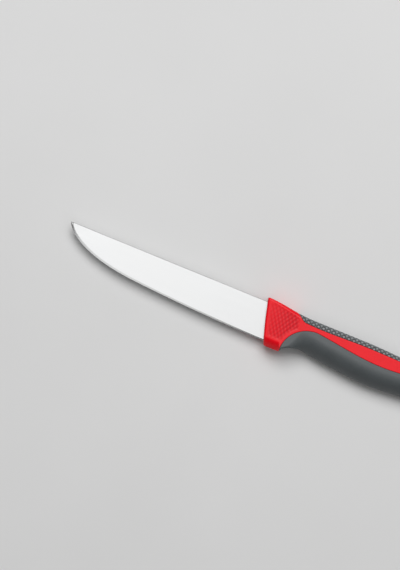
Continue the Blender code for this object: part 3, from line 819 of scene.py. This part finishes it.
def no_relief(points, run):
    return np.zeros(len(points))


# Bodies of the handle

def butt_stations(start):
    """Stations over the rounded end of the handle, closer and closer together."""
    turn = np.linspace(0.0, BUTT_LAST_TURN, BUTT_STATIONS)
    return mix(start, HANDLE_LENGTH, np.sin(turn))


def core_sheet(around):
    """The form of the core, dense on the bolster and thinner behind it: its rows, faces and points."""
    place = np.abs(around)
    on_side = (place > SIDE_START) & (place < SIDE_END)
    rank = np.round((place - SIDE_START) / CORE_SIDE_STEP).astype(int)
    kept = [j for j in range(len(around)) if not on_side[j] or rank[j] % CORE_THINNING == 0]
    dome = HANDLE_LENGTH - BUTT_SIDE_RUN
    front = FRONT_RADIUS * (1 - np.cos(np.linspace(0.0, QUARTER_TURN, FRONT_STEPS + 1)[:-1]))
    dense = np.concatenate([front, spread(FRONT_RADIUS, DENSE_END, DENSE_STEP)])
    plain = np.concatenate([spread(DENSE_END, dome, PLAIN_STEP), butt_stations(dome)])
    bolster = sheet_points(dense, around, core_belly_at)
    rest = sheet_points(plain, around[kept], core_belly_at)
    dense_rows = numbered_rows(0, len(dense), len(around))
    plain_rows = numbered_rows(len(bolster[0]), len(plain), len(kept))
    faces = grid_faces(dense_rows, True)
    faces += thinning_faces(dense_rows[-1], plain_rows[0], kept)
    faces += grid_faces(plain_rows, True)
    return dense_rows + plain_rows, faces, [np.concatenate(pair) for pair in zip(bolster, rest)]


def core_body():
    """The hard core: its showing face, the sunken rooms under the grips, and the pocket for the tang."""
    half = half_around(0.0, CORE_TURNS)
    around = np.concatenate([half, [BELLY_MIDDLE], -half[:0:-1]])
    rows, faces, (points, normals, inside) = core_sheet(around)
    first_points = points[rows[0]]
    upper, lower, edges, (points, normals, inside, depths) = split(
        faces, red_face(points), [points, normals, inside, pad_relief(points, normals)])
    body = Body()
    body.add(draw_back(red_face, points, normals, SEAM_ROUND) - normals * depths[:, None], depths)
    body.faces += upper
    seam = body.seam_rows(red_face, edges, points, normals, depths, 0.0)
    floor = body.add(inside)
    body.faces += [tuple(i + floor for i in face) for face in lower]
    body.join_seam(edges, seam, floor)
    body.faces += end_faces(rows[-1], False)
    add_front(body, rows[0], first_points, around)
    return body


def slot_section(around, top, low, half):
    """Section of the slot for the blade: heights and half widths at the places around it."""
    place = np.abs(around)
    y = mix(top, low, np.clip(place - SIDE_START, 0.0, 1.0))
    z = half * np.clip(place, 0.0, 1.0) * np.clip(BELLY_MIDDLE - place, 0.0, 1.0)
    return y, z * side_of(around)


def pocket_rows(around):
    """Rows of the room for the tang and the heel, from its far end to the slot."""
    half = BLADE_THICKNESS / 2 + BLADE_SEAM
    heel = HEEL_DEPTH + BLADE_SEAM
    neck = TANG_HEIGHT / 2 + BLADE_SEAM
    tail = TANG_END_HEIGHT / 2 + BLADE_SEAM
    rows = []
    for x, top, bottom in (
        (TANG_LENGTH + BLADE_SEAM, TANG_MIDDLE + tail, TANG_MIDDLE - tail),
        (heel + TANG_FILLET, TANG_MIDDLE + neck, TANG_MIDDLE - neck),
        (heel, TANG_MIDDLE + neck + TANG_FILLET, TANG_MIDDLE - neck - TANG_FILLET),
        (heel, BLADE_SEAM, -BLADE_HEIGHT - BLADE_SEAM),
        (HEEL_DEPTH, BLADE_SEAM, -BLADE_HEIGHT - BLADE_SEAM),
    ):
        y, z = slot_section(around, top, bottom, half)
        rows.append(np.stack([np.full(len(around), x), y, z], axis=-1))
    return rows


def front_rows(around, first_points):
    """Rows of the bolster's front face, from inside the slot, which follows the blade, out to the rim."""
    bevel_depth = BLADE_HEIGHT - BEVEL_WIDTH
    spine_half = BLADE_THICKNESS / 2 + BLADE_SEAM
    slot_y, slot_z = slot_section(around, BLADE_SEAM, -BLADE_HEIGHT - BLADE_SEAM, spine_half)
    ground = np.clip(-slot_y / bevel_depth, 0.0, 1.0)
    bevelled = np.clip((-slot_y - bevel_depth) / BEVEL_WIDTH, 0.0, 1.0)
    width = mix(spine_half, BEVEL_THICKNESS / 2 + BLADE_SEAM, ground)
    width = mix(width, EDGE_THICKNESS / 2 + BLADE_SEAM, bevelled)
    mouth_z = slot_z / spine_half * width
    rows = []
    for depth, share in FRONT_ROWS:
        y = mix(first_points[:, 1], slot_y, share)
        z = mix(first_points[:, 2], mouth_z, share)
        rows.append(np.stack([leaned(0.0, y) + depth, y, z], axis=-1))
    return rows


def add_front(body, rim, rim_points, around):
    """The front face of the bolster, with the slot that the blade stands in and the room for its tang."""
    rows = []
    for points in pocket_rows(around) + front_rows(around, rim_points):
        start = body.add(points)
        rows.append(list(range(start, start + len(around))))
    body.faces += end_faces(rows[0], True)
    body.faces += grid_faces(rows + [rim], True)


def grip_body(stations, around, room, relief):
    """A soft grip: a wall over its room, with a rounded edge and, on the spine, a pattern."""
    count = len(around)
    outer, normal, inner = sheet_points(stations, around, grip_belly_at)
    faces = grid_faces(numbered_rows(0, len(stations), count), False)
    grid = outer.reshape(len(stations), count, 3)
    lengths = np.linalg.norm(np.diff(grid[:, :, 1:], axis=1), axis=2)
    run = np.concatenate([np.zeros((len(stations), 1)), np.cumsum(lengths, axis=1)], axis=1)
    run = (run - run[:, count // 2][:, None]).ravel()
    upper, _, edges, (outer, normal, inner, run) = split(
        faces, room(outer), [outer, normal, inner, run])
    depths = relief(outer, run)
    body = Body()
    body.add(draw_back(room, outer, normal, SEAM_GAP + SEAM_ROUND) - normal * depths[:, None], depths)
    body.faces += upper
    seam = body.seam_rows(room, edges, outer, normal, depths, SEAM_GAP)
    back = body.add(draw_back(room, inner, normal, SEAM_GAP) + normal * SEAM_GAP)
    body.faces += [tuple(i + back for i in reversed(face)) for face in upper]
    body.join_seam(edges, seam, back)
    return body


def belly_grip_body():
    half = half_around(SIDE_START, BELLY_TURNS)
    around = np.concatenate([half, [BELLY_MIDDLE], -half[::-1]])
    start = GUARD_END - FRONT_LEAN
    end = HANDLE_LENGTH - BELLY_GRIP_FROM_BUTT + 2 * PLAIN_STEP
    notch = spread(start, NOTCH_AT, PLAIN_STEP / 2)
    stations = np.concatenate([notch, spread(NOTCH_AT, end, PLAIN_STEP), [end]])
    return grip_body(stations, around, belly_room, no_relief)


def spine_grip_body():
    half = half_around(0.0, SPINE_TURNS, SPINE_AROUND_END)
    around = np.concatenate([-half[:0:-1], half])
    end = HANDLE_LENGTH - STRIP_TAIL_FROM_BUTT + STRIP_TAIL_RUN + PLAIN_STEP
    stations = np.concatenate([spread(STRIP_START - PLAIN_STEP, end, KNURL_STEP), [end]])
    return grip_body(stations, around, strip_room, knurl_relief)


# Blade

def edge_line():
    """Points of the cutting edge, as (distance from the point, depth below the spine)."""
    belly_depth = BLADE_HEIGHT - EDGE_RISE
    ends = np.array([
        (0.0, POINT_HEIGHT),
        (POINT_PULL * math.cos(POINT_ANGLE), POINT_HEIGHT + POINT_PULL * math.sin(POINT_ANGLE)),
        (BELLY_FROM_POINT - BELLY_PULL, belly_depth - BELLY_GRADE * BELLY_PULL),
        (BELLY_FROM_POINT, belly_depth),
    ])
    points = []
    for t in np.linspace(0.0, 1.0, BELLY_EDGE_STEPS + 1)[:-1]:
        weights = ((1 - t) ** 3, 3 * t * (1 - t) ** 2, 3 * t ** 2 * (1 - t), t ** 3)
        points.append(tuple(np.dot(weights, ends)))
    run = BLADE_LENGTH - BELLY_FROM_POINT
    bend = EDGE_RISE - BELLY_GRADE * run
    for t in np.linspace(0.0, 1.0, STRAIGHT_EDGE_STEPS + 1)[:-1]:
        depth = belly_depth + BELLY_GRADE * run * t + bend * t ** 2
        points.append((mix(BELLY_FROM_POINT, BLADE_LENGTH, t), depth))
    for t in (0.0, GRIND_END / HEEL_DEPTH, 1.0):
        points.append((BLADE_LENGTH + HEEL_DEPTH * t, BLADE_HEIGHT))
    return points


def blade_column(run, depth, grade):
    """Rows of the blade, from its spine to its edge, as (x, y, half thickness)."""
    x = run - BLADE_LENGTH
    neck = TANG_HEIGHT / 2 + TANG_FILLET
    share = min(run / BLADE_LENGTH, 1.0)
    bevel = mix(BEVEL_WIDTH_POINT, BEVEL_WIDTH, share) * math.hypot(1.0, grade)
    bevel_depth = depth - min(bevel, depth * BEVEL_SHARE)
    bevel_top = mix(EDGE_THICKNESS, BEVEL_THICKNESS, (depth - bevel_depth) / bevel)
    spine = bevel_top + GRIND_TAPER * bevel_depth
    unground = min(max((x - GRIND_END) / (HEEL_DEPTH - GRIND_END), 0.0), 1.0)
    chamfer = min(SPINE_CHAMFER, bevel_depth * CHAMFER_SHARE, spine * CHAMFER_SHARE)
    reach = bevel_depth / (BLADE_HEIGHT - BEVEL_WIDTH)
    tang_rows = [(-TANG_MIDDLE + side) * reach for side in (-neck, neck)]
    rows = [(x, 0.0, spine / 2 - chamfer)]
    for y in (chamfer, *tang_rows, bevel_depth):
        thickness = mix(mix(spine, bevel_top, y / bevel_depth), BLADE_THICKNESS, unground)
        rows.append((x, -y, thickness / 2))
    rows.append((x, -depth, mix(EDGE_THICKNESS, BLADE_THICKNESS, unground) / 2))
    return rows


def blade_columns():
    points = edge_line()
    columns = []
    for i, (run, depth) in enumerate(points):
        before = points[max(i - 1, 0)]
        after = points[min(i + 1, len(points) - 1)]
        columns.append(blade_column(run, depth, (after[1] - before[1]) / (after[0] - before[0])))
    return columns


def tang_columns():
    """Columns of the tang behind the heel; only the two rows of its own edges are filled."""
    end_round = TANG_END_HEIGHT / 2
    places = []
    for turn in np.linspace(0.0, QUARTER_TURN, FILLET_STEPS + 1)[1:]:
        places.append((HEEL_DEPTH + TANG_FILLET * (1 - math.cos(turn)), TANG_FILLET * (1 - math.sin(turn))))
    for turn in np.linspace(0.0, QUARTER_TURN, TANG_END_STEPS + 1)[:-1]:
        places.append((TANG_LENGTH - end_round * (1 - math.sin(turn)), end_round * (math.cos(turn) - 1)))
    columns = []
    for x, extra in places:
        share = (x - HEEL_DEPTH) / (TANG_LENGTH - HEEL_DEPTH)
        half_height = mix(TANG_HEIGHT / 2, TANG_END_HEIGHT / 2, share) + extra
        top = (x, TANG_MIDDLE + half_height, BLADE_THICKNESS / 2)
        low = (x, TANG_MIDDLE - half_height, BLADE_THICKNESS / 2)
        columns.append([None, None, top, low, None, None])
    return columns


def make_blade():
    """The blade and its tang: a grid of columns and rows on both sides, closed round its outer cells."""
    columns = blade_columns() + tang_columns()
    body = Body()
    ids = {}
    for i, rows in enumerate(columns):
        for r, row in enumerate(rows):
            if row:
                x, y, half = row
                start = body.add(np.array([(x, y, half), (x, y, -half)]))
                ids[i, r] = (start, start + 1)
    cells = {(i, r) for i, r in ids if {(i + 1, r), (i, r + 1), (i + 1, r + 1)} <= ids.keys()}
    for i, r in sorted(cells):
        corners = [ids[i, r], ids[i, r + 1], ids[i + 1, r + 1], ids[i + 1, r]]
        body.faces.append(tuple(pair[0] for pair in corners))
        body.faces.append(tuple(pair[1] for pair in reversed(corners)))
        for k, neighbour in enumerate(((i - 1, r), (i, r + 1), (i + 1, r), (i, r - 1))):
            if neighbour not in cells:
                first = corners[k]
                second = corners[(k + 1) % 4]
                body.faces.append((first[1], second[1], second[0], first[0]))
    blade = body.finish("ground_blade")
    blade.data.set_sharp_from_angle(angle=BLADE_CREASE)
    return blade


# Materials

def set_inputs(tree, node, inputs):
    """Link each input to the output that feeds it, or set its value."""
    for key, value in inputs.items():
        if isinstance(value, bpy.types.NodeSocket):
            tree.links.new(value, node.inputs[key])
        else:
            node.inputs[key].default_value = value


def add_node(tree, kind, inputs, **settings):
    node = tree.nodes.new(kind)
    for key, value in settings.items():
        setattr(node, key, value)
    set_inputs(tree, node, inputs)
    return node


def scaled_noise(tree, scale, detail, roughness, stretch=(1.0, 1.0, 1.0), seed=0.0):
    """Noise in the object's own coordinates; scale is in waves to the metre."""
    place = add_node(tree, "ShaderNodeTexCoord", {}).outputs["Object"]
    mapping = add_node(tree, "ShaderNodeMapping", {
        "Vector": place, "Scale": stretch, "Location": (seed,) * 3})
    noise = add_node(tree, "ShaderNodeTexNoise", {
        "Vector": mapping.outputs["Vector"], "Scale": scale, "Detail": detail, "Roughness": roughness})
    return noise.outputs["Fac"]


def ramp(tree, value, span, tones):
    """Spread a span of a value over two colours."""
    node = add_node(tree, "ShaderNodeValToRGB", {"Fac": value})
    for element, place, color in zip(node.color_ramp.elements, span, tones):
        element.position = place
        element.color = (*color, 1.0)
    return node.outputs["Color"]


def map_range(tree, value, span, results):
    """Spread a span of a value over a range of results."""
    node = add_node(tree, "ShaderNodeMapRange", {
        "Value": value, "From Min": span[0], "From Max": span[1], "To Min": results[0], "To Max": results[1]})
    return node.outputs["Result"]


def total(tree, first, second):
    return add_node(tree, "ShaderNodeMath", {0: first, 1: second}, operation="ADD").outputs[0]


def blend_colors(tree, kind, share, first, second):
    """A Mix node for colours, whose sockets for them are numbers 6 and 7, and 2 for the result."""
    inputs = {0: share, 6: first, 7: second}
    return add_node(tree, "ShaderNodeMix", inputs, data_type="RGBA", blend_type=kind).outputs[2]


def bump(tree, height, distance, strength, under=None):
    """Normals with a relief on them, over those of an earlier one where it is given."""
    inputs = {"Height": height, "Distance": distance, "Strength": strength}
    if under:
        inputs["Normal"] = under
    return add_node(tree, "ShaderNodeBump", inputs).outputs["Normal"]


def new_material(name):
    material = bpy.data.materials.new(name)
    material.use_nodes = True
    tree = material.node_tree
    return material, tree, tree.nodes["Principled BSDF"]


def steel_material():
    """Satin steel, ground along the blade, with faint smears and a few fine scratches."""
    material, tree, shader = new_material("ground_steel")
    grind = scaled_noise(tree, **STEEL_GRIND)
    scratches = scaled_noise(tree, **STEEL_SCRATCHES)
    smear = scaled_noise(tree, **STEEL_CLOUDS)
    color = ramp(tree, grind, WIDE_SPAN, STEEL_TONES)
    patch = ramp(tree, smear, NARROW_SPAN, (STEEL_SMEAR, WHITE))
    color = blend_colors(tree, "MULTIPLY", 1.0, color, patch)
    rough = map_range(tree, grind, SPAN, STEEL_ROUGHNESS)
    rough = total(tree, rough, map_range(tree, smear, NARROW_SPAN, (STEEL_SMEAR_ROUGHNESS, 0.0)))
    normal = bump(tree, grind, GRIND_HEIGHT, 1.0)
    normal = bump(tree, scratches, SCRATCH_HEIGHT, SCRATCH_STRENGTH, normal)
    set_inputs(tree, shader, {"Base Color": color, "Metallic": 1.0, "Roughness": rough, "Normal": normal})
    return material


def plastic_material(name, tones, painted_shade_color, painted_shade_share, depth, rough, specular, grain):
    """Moulded plastic: fine moulded grain, slow change of tone, hollows in painted shade and rougher."""
    material, tree, shader = new_material(name)
    cloud = scaled_noise(tree, **PLASTIC_CLOUDS)
    speck = scaled_noise(tree, **PLASTIC_SPECKS)
    fine = scaled_noise(tree, **PLASTIC_GRAIN)
    color = ramp(tree, cloud, SPAN, tones)
    color = blend_colors(tree, "MULTIPLY", 1.0, color, ramp(tree, speck, SPAN, (PLASTIC_FLECK, WHITE)))
    hollow = add_node(tree, "ShaderNodeAttribute", {}, attribute_name="hollow").outputs["Fac"]
    # Painted shade: the colour darkens towards the bottom of the pattern's hollows
    painted_shade_mix = map_range(tree, hollow, (0.0, depth), (0.0, painted_shade_share))
    color = blend_colors(tree, "MIX", painted_shade_mix, color, (*painted_shade_color, 1.0))
    dull = map_range(tree, speck, SPAN, (rough - FLECK_ROUGHNESS, rough + FLECK_ROUGHNESS))
    dull = total(tree, dull, map_range(tree, cloud, SPAN, (-CLOUD_ROUGHNESS, CLOUD_ROUGHNESS)))
    dull = total(tree, dull, map_range(tree, hollow, (0.0, depth), (0.0, DUST_ROUGHNESS)))
    normal = bump(tree, fine, grain, 1.0)
    normal = bump(tree, speck, grain * SPECK_HEIGHT_SHARE, SPECK_STRENGTH, normal)
    set_inputs(tree, shader, {
        "Base Color": color, "Roughness": dull, "Normal": normal, "Specular IOR Level": specular})
    return material


def red_material():
    return plastic_material("moulded_red", RED_TONES, RED_HOLLOW_SHADE, RED_HOLLOW_SHADE_SHARE, PAD_DEPTH,
                            RED_ROUGHNESS, RED_SPECULAR, RED_GRAIN_HEIGHT)


def soft_material(name, tone):
    # The last share gives hollow, the colour of the painted shade in the grooves of a pattern
    shares = (SOFT_LOW, SOFT_HIGH, SOFT_HOLLOW_SHADE)
    low, high, hollow = [tuple(channel * share for channel in tone) for share in shares]
    return plastic_material(name, (low, high), hollow, SOFT_HOLLOW_SHADE_SHARE, KNURL_DEPTH,
                            SOFT_ROUGHNESS, SOFT_SPECULAR, SOFT_GRAIN_HEIGHT)


def floor_material():
    material, tree, shader = new_material("pale_floor")
    color = ramp(tree, scaled_noise(tree, **FLOOR_CLOUDS), SPAN, FLOOR_TONES)
    set_inputs(tree, shader, {
        "Base Color": color, "Roughness": FLOOR_ROUGHNESS, "Specular IOR Level": FLOOR_SPECULAR})
    return material


# Scene

def clear_startup():
    kept = list(frame["nodes"].values()) + list(frame["bodies"].values())
    for obj in list(bpy.data.objects):
        if obj not in kept:
            bpy.data.objects.remove(obj, do_unlink=True)


def dress(obj, material, node):
    """Give a piece its finish, and let it stand for its CAD node."""
    obj.data.materials.append(material)
    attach(obj, "root")
    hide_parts(node)


def make_floor():
    mesh = bpy.data.meshes.new("floor")
    corners = [(FLOOR_REACH * x, FLOOR_REACH * y, 0.0) for x, y in ((-1, -1), (1, -1), (1, 1), (-1, 1))]
    mesh.from_pydata(corners, [], [(0, 1, 2, 3)])
    floor = bpy.data.objects.new("floor", mesh)
    bpy.context.scene.collection.objects.link(floor)
    floor.data.materials.append(floor_material())


def area_light(name, place, target, size, power):
    """A soft lamp of so many watts to the square metre, seen in reflections but not by the camera."""
    data = bpy.data.lights.new(name, "AREA")
    data.shape = "RECTANGLE"
    data.size, data.size_y = size
    data.energy = power * size[0] * size[1]
    lamp = bpy.data.objects.new(name, data)
    bpy.context.scene.collection.objects.link(lamp)
    lamp.location = place
    lamp.rotation_mode = "QUATERNION"
    lamp.rotation_quaternion = (target - place).to_track_quat("-Z", "Y")
    lamp.visible_camera = False


def make_light(centre):
    """Even light from all round, and the lamps, placed as seen in the picture."""
    world = bpy.data.worlds.new("studio")
    bpy.context.scene.world = world
    world.use_nodes = True
    tree = world.node_tree
    set_inputs(tree, tree.nodes["Background"], {"Color": (*WHITE, 1.0), "Strength": AMBIENT})
    target = Vector((*centre, 0.0))
    right = Vector((math.cos(PHOTO_TURN), math.sin(PHOTO_TURN), 0.0))
    up = Vector((-math.sin(PHOTO_TURN), math.cos(PHOTO_TURN), 0.0))
    for name, (place, size, power) in LAMPS.items():
        spot = target + right * place[0] + up * place[1] + Vector((0.0, 0.0, place[2]))
        area_light(name, spot, target, size, power)


def make_camera(centre):
    data = bpy.data.cameras.new("camera")
    camera = bpy.data.objects.new("camera", data)
    bpy.context.scene.collection.objects.link(camera)
    camera.location = (*centre, HANDLE_HALF + CAMERA_DISTANCE)
    camera.rotation_euler = (0.0, 0.0, PHOTO_TURN)
    data.sensor_width = SENSOR
    data.lens = SENSOR * CAMERA_DISTANCE * PIXELS_PER_METRE / PHOTO_HEIGHT
    bpy.context.scene.camera = camera


clear_startup()
dress(make_blade(), steel_material(), "blade")
dress(core_body().finish("moulded_core"), red_material(), "handle_core")
dress(belly_grip_body().finish("soft_belly_grip"), soft_material("soft_grey", BELLY_GREY),
      "belly_grip")
# The spine grip's lighter grey is painted light
dress(spine_grip_body().finish("soft_spine_grip"), soft_material("soft_grey_cut", SPINE_GREY_PAINTED_LIGHTER),
      "spine_grip")
make_floor()
view_centre = (PHOTO_CENTRE[0] + SHIFT[0], PHOTO_CENTRE[1] + SHIFT[1])
make_camera(view_centre)
make_light(view_centre)
bpy.context.scene.view_settings.view_transform = "Standard"
